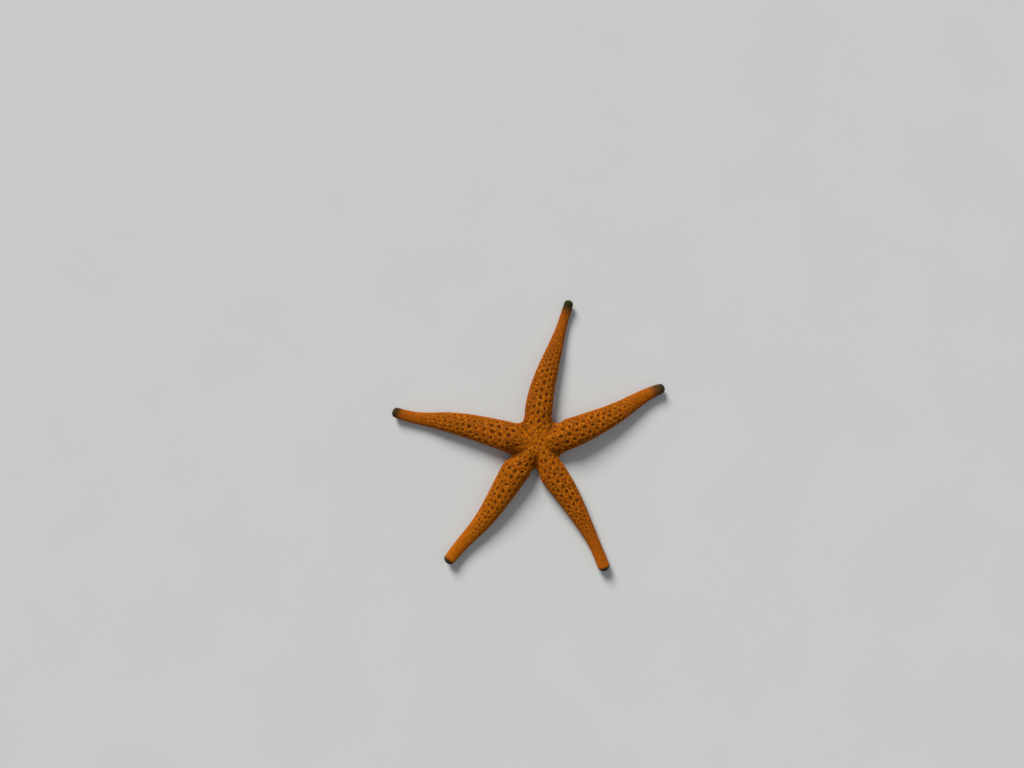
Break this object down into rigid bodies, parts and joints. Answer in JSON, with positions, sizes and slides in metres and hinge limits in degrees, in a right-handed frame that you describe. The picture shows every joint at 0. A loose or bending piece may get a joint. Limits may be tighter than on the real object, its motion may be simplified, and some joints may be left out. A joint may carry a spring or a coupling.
{
  "type": "starfish",
  "caption": "Life-size smooth starfish with slender tapering arms of uneven spread, lying flat on its grooved underside.",
  "frame": {"origin": "middle of the animal's box in plan, on the ground it lies on", "axes": "+Z rises out of the back, +Y runs along the arm that stands alone at the top of its spread, +X to that arm's right seen from above"},
  "size_m": [0.1466, 0.1448, 0.012],
  "materials": {
    "skin": "satin, finely granular, moist",
    "tip_plate": "satin",
    "sieve_plate": "matte",
    "mouth_lip": "moist",
    "eyespot": "gloss"
  },
  "bodies": {
    "root": {"disc": "skin", "madreporite": "sieve_plate", "mouth": "mouth_lip", "arm_1_inner": "skin", "arm_1_middle": "skin", "arm_1_outer": "skin", "arm_1_tip": "tip_plate", "arm_1_eyespot": "eyespot", "arm_2_inner": "skin", "arm_2_middle": "skin", "arm_2_outer": "skin", "arm_2_tip": "tip_plate", "arm_2_eyespot": "eyespot", "arm_3_inner": "skin", "arm_3_middle": "skin", "arm_3_outer": "skin", "arm_3_tip": "tip_plate", "arm_3_eyespot": "eyespot", "arm_4_inner": "skin", "arm_4_middle": "skin", "arm_4_outer": "skin", "arm_4_tip": "tip_plate", "arm_4_eyespot": "eyespot", "arm_5_inner": "skin", "arm_5_middle": "skin", "arm_5_outer": "skin", "arm_5_tip": "tip_plate", "arm_5_eyespot": "eyespot"}
  },
  "joints": []
}
